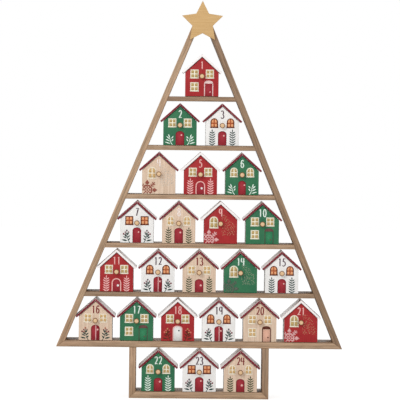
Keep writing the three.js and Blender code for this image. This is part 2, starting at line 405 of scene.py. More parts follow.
def piece(name, parts, materials, body, slot=None, stands_for=()):
    """Puts the joined parts into a mesh of that name, which rides on a body of the model."""
    whole = joined(parts)
    mesh = bpy.data.meshes.new(name)
    mesh.vertices.add(len(whole.corners))
    mesh.vertices.foreach_set("co", (whole.corners * MM).astype(np.float32).ravel())
    mesh.loops.add(len(whole.loops))
    mesh.loops.foreach_set("vertex_index", whole.loops.astype(np.int32))
    mesh.polygons.add(len(whole.sizes))
    starts = np.concatenate([[0], np.cumsum(whole.sizes)[:-1]])
    mesh.polygons.foreach_set("loop_start", starts.astype(np.int32))
    for material in materials:
        mesh.materials.append(material)
    mesh.polygons.foreach_set("material_index", whole.finishes.astype(np.int32))
    mesh.update(calc_edges=True)
    mesh.validate()
    made = bpy.data.objects.new(name, mesh)
    bpy.context.scene.collection.objects.link(made)
    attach(made, body)
    for node in stands_for:
        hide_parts(node)
    return made


print("corners of two skins joined:", len(joined([skin(np.zeros((2, 4, 3)))] * 2).corners))

# %% Sawn boards
SANDED_STEPS = 2
SHARP_EDGE = math.radians(30)


def slab(outline, front, back, finish_number=0):
    """A board: an outline (x, z), anticlockwise seen from the front, carried from y = front
    straight to y = back."""
    rings = np.empty((2, len(outline), 3))
    rings[:, :, 0] = outline[:, 0]
    rings[:, :, 2] = outline[:, 1]
    rings[:, :, 1] = [[front], [back]]
    return skin(rings, finish_number)


def eased(made, width_mm):
    """Sanded edges: every sharp edge is rounded to a radius, as sandpaper leaves it."""
    bevel = made.modifiers.new("sanded edges", "BEVEL")
    bevel.width = width_mm * MM
    bevel.segments = SANDED_STEPS
    bevel.limit_method = "ANGLE"
    bevel.angle_limit = SHARP_EDGE


def rectangle(left, bottom, right, top):
    """Its four corners, anticlockwise from the lower left."""
    return np.array([(left, bottom), (right, bottom), (right, top), (left, top)], float)


print("a slab's faces:", len(slab(rectangle(0, 0, 1, 1), 0, 1).sizes))

# %% [markdown]
# ## The tree's boards
# Eight strips make the tree and three its trunk. The rails lean together and are cut
# upright at the peak. At the feet they are mitred to a thicker foot board, and the trunk's
# sides are mitred to its base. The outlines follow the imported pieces' boxes, so only the
# board thicknesses are written here. Each board gets its `grain` attribute: its own corners
# turned flat, with a different start so that no two boards show the same figure.

# %% Sizes of the tree, from the model
RAIL_MM = 9.0
TRUNK_MM = 10.0


def node_box(node):
    """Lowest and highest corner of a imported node, in mm."""
    low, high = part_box(node)
    return np.array(low) / MM, np.array(high) / MM


peak = node_box("right_rail")[1][2]
trunk_half, _, trunk_top = node_box("trunk_right")[1]
(_, front, foot_underside), (tree_half, back, foot_top) = node_box("foot_board")
lean = math.atan(tree_half / (peak - foot_underside))


def rail_inside(z):
    """Distance of the rails' inner faces from the middle at height z."""
    return tree_half - RAIL_MM / math.cos(lean) - (z - foot_underside) * math.tan(lean)


print("lean, degrees:", round(math.degrees(lean), 2), "tree half-width, mm:", round(tree_half, 1))

# %% Outlines of the boards
inner_peak = foot_underside + (tree_half - RAIL_MM / math.cos(lean)) / math.tan(lean)
right_rail = np.array([(tree_half, foot_underside), (0, peak), (0, inner_peak),
                       (rail_inside(foot_top), foot_top)])
foot_board = np.array([(-tree_half, foot_underside), (tree_half, foot_underside),
                       (rail_inside(foot_top), foot_top), (-rail_inside(foot_top), foot_top)])
trunk_right = np.array([(trunk_half, 0), (trunk_half, trunk_top),
                        (trunk_half - TRUNK_MM, trunk_top), (trunk_half - TRUNK_MM, TRUNK_MM)])
trunk_base = np.array([(-trunk_half, 0), (trunk_half, 0),
                       (trunk_half - TRUNK_MM, TRUNK_MM), (TRUNK_MM - trunk_half, TRUNK_MM)])


def mirrored(outline):
    """The outline on the other side of the middle, still anticlockwise."""
    return outline[::-1] * (-1, 1)


def shelf(node):
    """A shelf's outline: its ends follow the rails' lean."""
    low, high = node_box(node)
    under, top = rail_inside(low[2]), rail_inside(high[2])
    return np.array([(-under, low[2]), (under, low[2]), (top, high[2]), (-top, high[2])])


boards = {
    "right_rail": (right_rail, math.pi / 2 + lean),
    "left_rail": (mirrored(right_rail), math.pi / 2 - lean),
    "foot_board": (foot_board, 0.0),
    "trunk_right": (trunk_right, math.pi / 2),
    "trunk_left": (mirrored(trunk_right), math.pi / 2),
    "trunk_base": (trunk_base, 0.0),
}
boards.update({f"shelf_{place}": (shelf(f"shelf_{place}"), 0.0) for place in range(1, 6)})
print("boards:", len(boards))

# %% Boards into the scene
BOARD_EASE_MM = 0.6
GRAIN_START_MM = np.array([137.0, 23.0, 11.0])
# How dark each board is stained, from 0 to 1, and what the others get. The left rail is
# palest, and the right rail and the trunk's right side darkest: painted shade of a light
# that falls off to the right. Shelves 1 and 5 are darker too.
STAIN_AND_SHADE = {"right_rail": 0.8, "trunk_right": 0.6, "left_rail": 0.0, "shelf_1": 0.75, "shelf_5": 0.7}
USUAL_STAIN = 0.2


def corners_of(made):
    """The x, y and z of every corner of a piece, in metres."""
    corners = np.empty(len(made.data.vertices) * 3, np.float32)
    made.data.vertices.foreach_get("co", corners)
    return corners.reshape(-1, 3).T


def store(made, name, values):
    """Keeps one number or one vector at every corner of a piece, for its finish to read."""
    kind, field = ("FLOAT_VECTOR", "vector") if np.ndim(values) == 2 else ("FLOAT", "value")
    attribute = made.data.attributes.new(name, kind, "POINT")
    attribute.data.foreach_set(field, values.astype(np.float32).ravel())


def set_grain(made, angle, start):
    """Stores each corner's place in its own board: x along it, y across it and z into it,
    by turning x and z back by the board's angle."""
    x, y, z = corners_of(made)
    along = x * math.cos(angle) + z * math.sin(angle)
    across = z * math.cos(angle) - x * math.sin(angle)
    store(made, "grain", np.column_stack([along, across, y]) + start * MM)


for order, (node, (outline, angle)) in enumerate(boards.items()):
    board = piece("board_" + node, [slab(outline, front, back)], [pine], "tree", "frame_wood", [node])
    set_grain(board, angle, GRAIN_START_MM * order)
    store(board, "stain", np.full(len(board.data.vertices), STAIN_AND_SHADE.get(node, USUAL_STAIN)))
    eased(board, BOARD_EASE_MM)
print("boards made:", len(boards), "each", round(back - front, 1), "mm deep")

# %% [markdown]
# ## The star
# A five-pointed star cut from thin plywood is fixed to the front of the peak. Its points
# lie on a circle and its notches on a smaller one, a tenth of a turn apart, so the outline
# is one formula.

# %% Star
STAR_NOTCH_SHARE = 0.5015
STAR_EASE_MM = 0.5
# The two widest points stand this far above the middle's level.
WIDEST_POINT = math.radians(18)

star_low, star_high = node_box("star")
star_radius = (star_high[0] - star_low[0]) / 2 / math.cos(WIDEST_POINT)
tenth = np.arange(10)
star_reach = np.where(tenth % 2 == 0, star_radius, star_radius * STAR_NOTCH_SHARE)
star_turn = math.pi / 2 + tenth * math.pi / 5
star_outline = np.column_stack([star_reach * np.cos(star_turn), star_reach * np.sin(star_turn)])
star_outline[:, 1] += star_high[2] - star_radius
star = piece("gold_star", [slab(star_outline, star_low[1], star_high[1])], [gold_stain], "tree",
             "star_paint", ["star"])
eased(star, STAR_EASE_MM)
print("star radius, mm:", round(star_radius, 1))

# %% [markdown]
# ## One house, cut from plywood
# Every house is made alike: a floor, two side walls and a gabled back of 3 mm plywood,
# two roof boards that meet in a mitre at the ridge, and a drawer whose gabled front laps
# over the walls. Its width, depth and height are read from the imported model's boxes, and
# all its places are measured from the middle of the front's bottom edge. Board
# thicknesses, pitch and gaps are the maker's. Only the gap between front and roof is
# wider than the model's 0.4 mm: it makes the fine dark line that the eye sees there, and
# the sanded edges need the room.

# %% Sizes of a house
PLY, FRONT_BOARD = 3.0, 4.0
PITCH, OVERHANG = math.radians(42), 3.0
SHUT_GAP, RUNNING_GAP, ROOF_GAP, END_GAP = 0.3, 0.4, 0.8, 0.5
TRAY_PLY, TRAY_SIDE = 2.5, 28.0

case_low, case_high = node_box("house_01_case")
drawer_low, drawer_high = node_box("house_01_drawer")
half_house = (drawer_high[0] - drawer_low[0]) / 2
eave_reach = (case_high[0] - case_low[0]) / 2 - half_house
case_depth = case_high[1] - case_low[1] - OVERHANG
knob_reach = case_low[1] + OVERHANG - drawer_low[1]
roof_lift = PLY / math.cos(PITCH)
ridge = case_high[2] - case_low[2] - roof_lift


def under_roof(x):
    """Height of the roof boards' underside at a distance from the middle."""
    return ridge - abs(x) * math.tan(PITCH)


def gable(half, bottom, raised):
    """A gabled outline that stands on z = bottom, with its roof line raised or lowered."""
    return np.array([(-half, bottom), (half, bottom), (half, under_roof(half) + raised),
                     (0, ridge + raised), (-half, under_roof(half) + raised)])


print("house half-width, depth and wall height, mm:",
      [round(float(size), 2) for size in (half_house, case_depth, under_roof(half_house))])

# %% Walls
# The walls run a little way up into the roof boards, so that no gap shows between them.
ROOF_SEAT = 0.4


def walls():
    """Side walls, floor and back: the sides run full depth, with the others between them."""
    inside = half_house - PLY
    side = np.array([(inside, 0), (half_house, 0), (half_house, under_roof(half_house) + ROOF_SEAT),
                     (inside, under_roof(inside) + ROOF_SEAT)])
    start = FRONT_BOARD + SHUT_GAP
    return [
        slab(side, start, case_depth),
        slab(mirrored(side), start, case_depth),
        slab(rectangle(-inside, 0, inside, PLY), start, case_depth - PLY),
        slab(gable(inside, 0, ROOF_SEAT), case_depth - PLY, case_depth),
    ]


print("boards in the walls of a case:", len(walls()))

# %% Roof
ROOF_TOP, ROOF_TRIM = 0, 1


def roof():
    """Two boards, cut square at the eaves and mitred at the ridge; each front edge is trim."""
    tip = half_house + eave_reach
    cut = tip - PLY * math.sin(PITCH)
    outline = np.array([(0, ridge), (cut, under_roof(cut)), (tip, under_roof(tip) + roof_lift),
                        (0, ridge + roof_lift)])
    both = [slab(shape, -OVERHANG, case_depth, ROOF_TOP) for shape in (outline, mirrored(outline))]
    for board in both:
        board.finishes[0] = ROOF_TRIM
    return both


print("a roof's eaves reach from the middle, mm:", half_house + eave_reach)

# %% Drawer front and tray
PAINTED_SIDE, BARE_SIDE = 0, 1


def drawer_front():
    """The gabled front: paint on its face and edges, bare wood behind."""
    drop = ROOF_GAP / math.cos(PITCH)
    board = slab(gable(half_house, RUNNING_GAP, -drop), 0, FRONT_BOARD, PAINTED_SIDE)
    board.finishes[1] = BARE_SIDE
    return [board]


def tray():
    """An open box behind the front: bottom, two sides and an end, butted together."""
    half = half_house - PLY - RUNNING_GAP
    inside = half - TRAY_PLY
    low, high = PLY + RUNNING_GAP, PLY + RUNNING_GAP + TRAY_SIDE
    end = case_depth - PLY - END_GAP
    side = rectangle(inside, low, half, high)
    return [
        slab(side, FRONT_BOARD, end),
        slab(mirrored(side), FRONT_BOARD, end),
        slab(rectangle(-inside, low, inside, low + TRAY_PLY), FRONT_BOARD, end - TRAY_PLY),
        slab(rectangle(-inside, low, inside, high), end - TRAY_PLY, end),
    ]


print("boards in a tray:", len(tray()))

# %% [markdown]
# ## Turned knob
# The knob is a small bead of beech on a neck, spun on a lathe. Its profile is three
# quadratic curves and a straight neck, and turning it is a function of two parameters:
# the place along the profile and the angle round the axis. A Screw modifier could spin it
# as well, but this way the knob uses the same skin as every other piece. The neck ends
# inside the front board, so no edge of it shows.

# %% Knob
KNOB_HEIGHT = 30.3
KNOB_RADIUS, KNOB_HEAD, NECK_RADIUS = 4.0, 5.5, 1.8
KNOB_AROUND = 32
# The first ring is this small, and not a point, so that its end face closes the knob.
FIRST_RING = 0.02


def curve(start, pull, end, count):
    """Points of a quadratic curve: (1 - t)^2 start + 2 t (1 - t) pull + t^2 end."""
    t = np.linspace(0, 1, count)[:, None]
    start, pull, end = (np.array(point, float) for point in (start, pull, end))
    return (1 - t) ** 2 * start + 2 * t * (1 - t) * pull + t ** 2 * end


def knob():
    """The profile (radius, y) turned round the axis: x is radius times cosine of the angle,
    and z the axis height plus radius times its sine."""
    head_back, widest = -(knob_reach - KNOB_HEAD), -(knob_reach - KNOB_HEAD / 2)
    shoulder = (NECK_RADIUS + KNOB_RADIUS) / 2
    profile = np.vstack([
        curve((FIRST_RING, -knob_reach), (KNOB_RADIUS, -knob_reach), (KNOB_RADIUS, widest), 10),
        curve((KNOB_RADIUS, widest), (KNOB_RADIUS, head_back), (shoulder, head_back), 8)[1:],
        curve((shoulder, head_back), (NECK_RADIUS, head_back), (NECK_RADIUS, head_back / 2), 6)[1:],
        [(NECK_RADIUS, FRONT_BOARD / 4)],
    ])
    angle = np.linspace(0, 2 * math.pi, KNOB_AROUND, endpoint=False)
    rings = np.empty((len(profile), KNOB_AROUND, 3))
    rings[:, :, 0] = profile[:, :1] * np.cos(angle)
    rings[:, :, 1] = profile[:, 1:]
    rings[:, :, 2] = profile[:, :1] * np.sin(angle) + KNOB_HEIGHT
    return skin(rings)


def set_turned(made):
    """Stores how far each corner is from the knob's axis, as a share of its radius."""
    x, _, z = corners_of(made)
    middle_x, middle_z = (x.max() + x.min()) / 2, (z.max() + z.min()) / 2
    store(made, "turned", np.hypot(x - middle_x, z - middle_z) / (KNOB_RADIUS * MM))


print("knob faces:", len(knob().sizes))

# %% [markdown]
# ## Painted shapes with a real thickness
# The windows, doors, plants and numbers are craft paint, so each one is a thin closed
# solid that stands a tenth of a millimetre proud of the board and starts inside it. They
# could be a picture laid over the board, but as shapes their edges stay sharp from any
# distance. A flat shape is an outline, and a brush line is a path with a width. Paint over
# paint, such as a pane on its frame, lies one coat higher.

# %% Flat shapes and brush lines
COAT_MM, SUNK_MM = 0.09, 0.06
# Where shapes of one colour cross, each lies this share of a coat above the one before, so
# no two painted surfaces coincide.
COAT_STEP = 0.1
PAINT_NAMES = list(craft_colours)


def patch(outline, colour, coat=1):
    """A flat painted shape on the front board, so many coats high."""
    return slab(outline, -COAT_MM * coat, SUNK_MM, PAINT_NAMES.index(colour))


def brush_line(path, width, colour, coat=1):
    """A painted line: at each point of the path (x, z) a cross-section as wide as the brush,
    square to the path's direction there. A path that ends where it started makes a loop."""
    path = np.asarray(path, float)
    half = np.broadcast_to(width, len(path))[:, None] / 2
    looped = np.allclose(path[0], path[-1])
    if looped:
        path, half = path[:-1], half[:-1]
        direction = np.roll(path, -1, 0) - np.roll(path, 1, 0)
    else:
        direction = np.gradient(path, axis=0)
    direction /= np.linalg.norm(direction, axis=1)[:, None]
    leftward = half * np.column_stack([-direction[:, 1], direction[:, 0]])
    rings = np.empty((len(path), 4, 3))
    for corner, (side, y) in enumerate([(-1, -COAT_MM * coat), (1, -COAT_MM * coat),
                                        (1, SUNK_MM), (-1, SUNK_MM)]):
        rings[:, corner, 0::2] = path + side * leftward
        rings[:, corner, 1] = y
    return skin(rings, PAINT_NAMES.index(colour), looped)


def straight(start, end, count=2):
    """Points at even steps from one place to another."""
    return np.linspace(start, end, count)


def arc(centre, reach, first, last, count):
    """Points of an ellipse about a centre: its cosine and sine times the two reaches, from
    one angle to another in degrees."""
    angle = np.radians(np.linspace(first, last, count))
    return np.column_stack([centre[0] + reach[0] * np.cos(angle), centre[1] + reach[1] * np.sin(angle)])


print("painted shapes stand proud by, mm:", COAT_MM)

# %% Arches, dots and leaves
def arched(left, bottom, right, top, rise=None):
    """An upright opening under half an ellipse, which is a half circle if no rise is given."""
    rise = rise or (right - left) / 2
    over = arc(((left + right) / 2, top - rise), ((right - left) / 2, rise), 0, 180, 13)
    return np.vstack([[(left, bottom), (right, bottom)], over])


def dot(x, z, radius, count=12):
    """A filled circle with so many corners."""
    return arc((x, z), (radius, radius), 0, 360 - 360 / count, count)


def leaf(foot, angle, length, width, plump):
    """A leaf from its foot along an angle: its half-width is half the width times the sine
    of half a turn times the share along it raised to `plump`, so it is fullest near the foot
    where that is under 1."""
    share = np.linspace(0, 1, 7)
    half = width / 2 * np.sin(math.pi * share ** plump)
    out = np.column_stack([share * length, -half])
    home = np.column_stack([share * length, half])[-2:0:-1]
    shape = np.vstack([out, home])
    turn = np.array([(math.cos(angle), math.sin(angle)), (-math.sin(angle), math.cos(angle))])
    return shape @ turn + foot


print("corners of a leaf:", len(leaf((0, 0), 0, 5, 2, 1)))

# %% [markdown]
# ## Windows and doors
# The fronts share a few stencils. A window is a frame with four panes and a sill, and its
# top is straight or round. On white fronts the frame is rust and the panes amber, on bare
# wood they are ivory and wheat, and elsewhere cream and straw. A door is a round-topped
# leaf in an outline, and some fronts have a double door or a square one under a small
# canopy. Each stencil is one function with its sizes and colours as arguments, so a change
# to it reaches every front that has it.

# %% Windows
MUNTIN, WINDOW_RIM, SILL, SILL_OUT = 1.5, 1.5, 1.9, 0.4
# The share of the opening's height at which the crossbar lies.
CROSSBAR, ROUND_CROSSBAR = 0.5, 0.46
# Left, bottom, right and top of the right-hand window of a pair.
SQUARE_WINDOW = (5.5, 26.8, 17.5, 40.3)
ROUND_WINDOW = (6.5, 26.6, 17.9, 41.2)
# The colours of frame, bars and panes; the other fronts have cream windows.
WINDOW_COLOURS = {"front_white": ("rust", "coral", "amber"),
                  "front_beige": ("ivory", "ivory", "wheat")}
CREAM_WINDOW = ("cream", "cream", "straw")


def pane(left, bottom, right, top, arch_side=0):
    """A pane, square or with a quarter of an ellipse for its top: 1 curves down to the right,
    and -1 to the left."""
    if arch_side == 0:
        return rectangle(left, bottom, right, top)
    reach = (right - left, top - bottom)
    if arch_side > 0:
        return np.vstack([[(left, bottom)], arc((left, bottom), reach, 0, 90, 9)])
    return np.vstack([[(right, bottom)], arc((right, bottom), reach, 90, 180, 9)])


def window(left, bottom, right, top, round_top, paint):
    """A frame with a sill a little wider than it, the bars one coat higher, and four panes on
    top of them."""
    frame_colour, bar_colour, pane_colour = WINDOW_COLOURS.get(paint, CREAM_WINDOW)
    opening = arched if round_top else rectangle
    inside = (left + WINDOW_RIM, bottom + SILL, right - WINDOW_RIM, top - WINDOW_RIM)
    shapes = [
        patch(opening(left, bottom, right, top), frame_colour),
        patch(rectangle(left - SILL_OUT, bottom, right + SILL_OUT, bottom + SILL), frame_colour, 2),
        patch(opening(*inside), bar_colour, 2),
    ]
    crossbar = inside[1] + (inside[3] - inside[1]) * (ROUND_CROSSBAR if round_top else CROSSBAR)
    middle = (left + right) / 2
    columns = ((inside[0], middle - MUNTIN / 2, -1), (middle + MUNTIN / 2, inside[2], 1))
    for start, end, side in columns:
        shapes.append(patch(pane(start, inside[1], end, crossbar - MUNTIN / 2), pane_colour, 3))
        above = pane(start, crossbar + MUNTIN / 2, end, inside[3], side * round_top)
        shapes.append(patch(above, pane_colour, 3))
    return shapes


def paired_windows(round_top, paint):
    """The two upper windows of most fronts; round-topped ones are narrower and taller."""
    inner, bottom, outer, top = ROUND_WINDOW if round_top else SQUARE_WINDOW
    return (window(-outer, bottom, -inner, top, round_top, paint)
            + window(inner, bottom, outer, top, round_top, paint))


print("window parts:", len(window(0, 0, 12, 13, True, "front_white")))

# %% Doors
DOOR_FOOT, DOOR_RISE = 0.6, 4.8
DOOR_EDGE, WHITE_DOOR_EDGE = 0.8, 1.28
# Where the leaves of a double door meet, and how wide the line there is.
MEETING, MEETING_LINE = 0.7, 1.4
PALE_LINE = 1.6


def solid_door(half, top, handle, colours=("door_dark", "door_red", "blush"), double=False):
    """A flat-arched leaf one coat over its edge, with a dot for its handle. A double door has
    a pale line down its middle, and its right leaf is darker."""
    edge_colour, leaf_colour, handle_colour = colours
    edge = DOOR_EDGE if leaf_colour == "door_red" else WHITE_DOOR_EDGE
    inner, inner_top = half - edge, top - edge
    whole_leaf = arched(-inner, DOOR_FOOT, inner, inner_top, DOOR_RISE)
    shapes = [patch(arched(-half, DOOR_FOOT, half, top, DOOR_RISE), edge_colour)]
    if double:
        left_leaf = np.vstack([[(-inner, DOOR_FOOT), (0, DOOR_FOOT)],
                               arc((0, inner_top - DOOR_RISE), (inner, DOOR_RISE), 90, 180, 7)])
        middle = straight((MEETING, DOOR_FOOT), (MEETING, inner_top))
        shapes += [patch(whole_leaf, "door_shade", 2), patch(left_leaf, leaf_colour, 2.5),
                   brush_line(middle, MEETING_LINE, "rose", 3)]
    else:
        shapes.append(patch(whole_leaf, leaf_colour, 2))
    return shapes + [patch(dot(*handle), handle_colour, 3)]


def outlined_door(half, top, handle):
    """A door drawn in one pale line: up one side, over a half circle and down the other, round
    a leaf a little darker than the front."""
    path = np.vstack([straight((half, DOOR_FOOT), (half, top - half), 6)[:-1],
                      arc((0, top - half), (half, half), 0, 180, 19),
                      straight((-half, top - half), (-half, DOOR_FOOT), 6)[1:]])
    return [patch(arched(-half, DOOR_FOOT, half, top), "door_red"),
            brush_line(path, PALE_LINE, "blush", 2), patch(dot(*handle), "snow", 2)]


print("shapes in a double door:", len(solid_door(6, 20, (2, 10, 1), double=True)))

# %% Door under a canopy
POSTS, POST_TOP = ((3.3, 4.7), (15.6, 17.0)), 19.4
SQUARE_LEAF, SQUARE_HANDLE = (5.0, DOOR_FOOT, 15.3, 18.8), (12.3, 6.9, 1.1)
CANOPY_MIDDLE, CANOPY_REACH, CANOPY_UNDERSIDE = (10, 20.6), (6.5, 3.4), 19.3


def canopy_door(post_colour, leaf_colour, canopy_colour, handle_colour):
    """A square door to the right of the front: two posts, a leaf between them, and over it a
    small canopy that is bowed by half an ellipse."""
    posts = [patch(rectangle(left, DOOR_FOOT, right, POST_TOP), post_colour) for left, right in POSTS]
    ends = [(CANOPY_MIDDLE[0] + side * CANOPY_REACH[0], CANOPY_UNDERSIDE) for side in (-1, 1)]
    canopy = np.vstack([ends, arc(CANOPY_MIDDLE, CANOPY_REACH, 0, 180, 13)])
    return posts + [patch(rectangle(*SQUARE_LEAF), leaf_colour), patch(canopy, canopy_colour, 2),
                    patch(dot(*SQUARE_HANDLE), handle_colour, 2)]


print("shapes in a door under a canopy:", len(canopy_door("bark", "salmon", "bark", "bark")))

# %% [markdown]
# ## Plants
# Three common stencilled plants stand beside the doors: a laurel with paired leaves, a
# low spray of broad brush leaves, and a berry branch with one long leaf at its foot. The
# right-hand plant's points are written down, and the left-hand one has the same points
# with the sign of x turned. Leaves and stems are worked out from those points on either
# side, so none of them turns inside out as a mirrored mesh would.

# %% Laurel and spray
# Places and widths are those of the right-hand plant, in mm.
LAUREL_MIDDLE, LAUREL_FOOT, LAUREL_PAIRS, LAUREL_STEP = 15.2, 0.9, 6, 3.5
LAUREL_STEM, LAUREL_LEAF = 0.6, 1.8
LEAF_OUT, LEAF_UP, TOP_PAIR_SHARE = 5.1, 3.4, 0.82
# The leaf at the tip runs from under the stem's top to above it, and is this wide.
TIP_DROP, TIP_RISE, TIP_WIDTH = 1.5, 3, 1.6
SPRAY_STEM, SPRAY_STEM_WIDTHS = ((11, 0.7), (14.4, 4), (15, 11.5)), (1.1, 0.7)
SPRAY_LEAF = 1.8
SPRAY_LEAVES = (((14, 2.5), (22.8, 5)), ((14.5, 6), (21.5, 9.3)), ((15, 9), (20.5, 14)),
                ((15, 11), (17.5, 17)), ((12.5, 6), (9.7, 10)), ((13, 10), (9.5, 14)))
# A slim leaf is fullest near its foot, and an even one at its middle.
SLIM, EVEN = 0.85, 1.0


def sides(draw):
    """The plant drawn on the left, and again on the right with the sign of x turned."""
    return draw(-1) + draw(1)


def leaf_to(side, foot, tip, width, colour, steps, plump=SLIM):
    """A leaf from its foot to its tip, which are given as the right-hand plant has them, so
    many steps above the first coat."""
    foot, tip = np.array(foot) * (side, 1), np.array(tip) * (side, 1)
    reach = tip - foot
    shape = leaf(foot, math.atan2(reach[1], reach[0]), np.hypot(*reach), width, plump)
    return patch(shape, colour, 1 + COAT_STEP * steps)


def bent_stem(side, points, widths, count, colour):
    """A stem along a quadratic curve, which thins evenly from its foot to its tip."""
    return brush_line(curve(*points, count) * (side, 1), np.linspace(*widths, count), colour)


def laurel(colour):
    """Pairs of small leaves at even steps up a stem, with one upright leaf at its tip."""
    def draw(side):
        top = LAUREL_FOOT + LAUREL_STEP * LAUREL_PAIRS
        stem = straight((side * LAUREL_MIDDLE, DOOR_FOOT), (side * LAUREL_MIDDLE, top), 3)
        shapes = [brush_line(stem, LAUREL_STEM, colour)]
        for pair in range(LAUREL_PAIRS):
            foot = (LAUREL_MIDDLE, LAUREL_FOOT + LAUREL_STEP * pair)
            share = 1.0 if pair < LAUREL_PAIRS - 1 else TOP_PAIR_SHARE
            for steps, out in ((1, LEAF_OUT), (2, -LEAF_OUT)):
                tip = (foot[0] + out * share, foot[1] + LEAF_UP * share)
                shapes.append(leaf_to(side, foot, tip, LAUREL_LEAF, colour, steps))
        tip_leaf = (LAUREL_MIDDLE, top - TIP_DROP), (LAUREL_MIDDLE, top + TIP_RISE)
        return shapes + [leaf_to(side, *tip_leaf, TIP_WIDTH, colour, 3)]
    return sides(draw)


def spray(colour):
    """Six broad leaves that fan out from a short bent stem."""
    def draw(side):
        leaves = [leaf_to(side, foot, tip, SPRAY_LEAF, colour, 1 + order, EVEN)
                  for order, (foot, tip) in enumerate(SPRAY_LEAVES)]
        return [bent_stem(side, SPRAY_STEM, SPRAY_STEM_WIDTHS, 9, colour)] + leaves
    return sides(draw)


print("shapes in a laurel and in a spray:", len(laurel("mint")), len(spray("mint")))

# %% Berry branch
BRANCH_STEM, BRANCH_STEM_WIDTHS = ((10.4, 0.7), (14.6, 5), (15.2, 17.8)), (1.0, 0.6)
BRANCH_LEAVES = (((14.0, 3.2), (22.8, 5.0), 2.4), ((14.8, 6.8), (21.0, 10.0), 1.9),
                 ((13.6, 3.8), (9.6, 7.4), 1.9), ((14.6, 7.8), (9.6, 11.8), 1.9),
                 ((15, 11.6), (11.4, 15.6), 1.6), ((15, 9), (18.6, 11.6), 1.5))
# Neighbours in this list have twigs that start apart, so three steps of coat keep them clear.
BERRIES = ((19.8, 13.5, 1.3), (16.9, 13.2, 1.0), (17.4, 16.2, 1.1), (15.1, 18.7, 1.3),
           (12.4, 16.5, 0.9))
TWIG_FOOT, TWIG_DROP, TWIG_WIDTH = 15.1, 3.2, 0.7
FIRST_TWIG_STEP, TWIG_STEPS = 7, 3


def berry_branch(leaf_colour, berry_colour, other_berry):
    """A stem from the door's foot with leaves, and berries on short twigs."""
    def draw(side):
        shapes = [bent_stem(side, BRANCH_STEM, BRANCH_STEM_WIDTHS, 10, leaf_colour)]
        shapes += [leaf_to(side, foot, tip, width, leaf_colour, 1 + order)
                   for order, (foot, tip, width) in enumerate(BRANCH_LEAVES)]
        for order, (x, z, radius) in enumerate(BERRIES):
            twig = straight((TWIG_FOOT, z - TWIG_DROP), (x, z), 3) * (side, 1)
            steps = FIRST_TWIG_STEP + order % TWIG_STEPS
            shapes.append(brush_line(twig, TWIG_WIDTH, leaf_colour, 1 + COAT_STEP * steps))
            colour = other_berry if order % 2 else berry_colour
            shapes.append(patch(dot(side * x, z, radius, 10), colour, 2))
        return shapes
    return sides(draw)


print("shapes in a berry branch:", len(berry_branch("fir", "berry", "plum")))

# %% [markdown]
# ## Snow
# Four fronts have one window and a large snowflake that runs off the corner of the board.
# A snowflake is eight arms: the upright and level ones end in kites, and the slanting
# ones in forks. Each arm is only as long as the board allows. The snow round it is small
# dots, one in each cell of a grid, so that none overlap their neighbours by much. A
# seeded generator picks each dot's place and size, so every run is the same.

# %% Snowflake
FLAKE_MIDDLE = np.array([-17.3, 6.2])
FLAKE_LINE, ARM_START, ARM_TURN = 1.35, 2.8, 45
KITE_FOOT, KITE_SHOULDER, KITE_HALF, KITE_TIP = 7.6, 10.6, 3.3, 15.4
FORK_FOOT, FORK_TIP = 12.0, 16.2
BARB_PLACES, BARB_LONG, BARB_SPREAD = (5.4, 8.6), 3.6, 50
# The eight arms have the steps of coat from 0 to 7, and the barbs on their two sides these.
BARB_STEPS = (8, 9)
FACE_CORNER = np.array([-24.4, 1.0])
# A line that runs away from an edge counts as nearing it this slowly.
SLOWEST = -0.01


def towards_angle(degrees):
    """A step of 1 mm at an angle: the angle's cosine and sine."""
    return np.array([math.cos(math.radians(degrees)), math.sin(math.radians(degrees))])


def room(direction):
    """How far a line can run from the flake's middle: the way to the board's left edge and to
    its bottom, each over how fast the line nears it, and no further than the fork's tip."""
    return min(FORK_TIP, *(FACE_CORNER - FLAKE_MIDDLE) / np.minimum(direction, SLOWEST))


def flake_arm(degrees, colour):
    """One arm: its line and barbs, and at its tip a kite on the upright and level arms or a
    fork on the slanting ones, where the board has room for it. The eight arms cross in the
    middle, so each lies a step higher than the last, with the barbs above them all."""
    along = towards_angle(degrees)
    across = np.array([-along[1], along[0]])
    length = room(along)
    kite_arm = degrees % 90 == 0
    line_end = FLAKE_MIDDLE + along * min(length, KITE_SHOULDER if kite_arm else FORK_TIP)
    line = straight(FLAKE_MIDDLE + along * ARM_START, line_end, 3)
    shapes = [brush_line(line, FLAKE_LINE, colour, 1 + COAT_STEP * (degrees // ARM_TURN))]
    places = BARB_PLACES[:1] if kite_arm else BARB_PLACES + (FORK_FOOT,)
    for start in places:
        foot = FLAKE_MIDDLE + along * start
        for steps, spread in zip(BARB_STEPS, (-BARB_SPREAD, BARB_SPREAD)):
            end = foot + towards_angle(degrees + spread) * BARB_LONG
            if start < length and (end > FACE_CORNER).all():
                barb = straight(foot, end, 3)
                shapes.append(brush_line(barb, FLAKE_LINE, colour, 1 + COAT_STEP * steps))
    if kite_arm and length >= KITE_TIP:
        kite = [FLAKE_MIDDLE + along * out + across * aside for out, aside in
                ((KITE_FOOT, 0), (KITE_SHOULDER, -KITE_HALF), (KITE_TIP, 0), (KITE_SHOULDER, KITE_HALF))]
        shapes.append(patch(np.array(kite), colour, 2))
    return shapes


print("room for the left arm, mm:", round(float(room(towards_angle(180))), 1))

# %% Falling snow
FLAKE_HUB = 1.4
# The radius of each ring, and the angles that it runs between.
FLAKE_RINGS, RING_LINE = ((3.2, 0, 360), (6.4, -45, 180)), FLAKE_LINE * 0.9
SNOW_CORNER, SNOW_CELLS, SNOW_STEP = (1.8, 12.4), (9, 14), 2.2
SNOW_RADII, SNOW_AROUND = (0.38, 0.66), 7
KNOB_CLEAR = 5.5
# A dot is clear of the roof while its x plus this share of its z is less than the reach.
GABLE_SLANT, GABLE_REACH = 0.9, 46


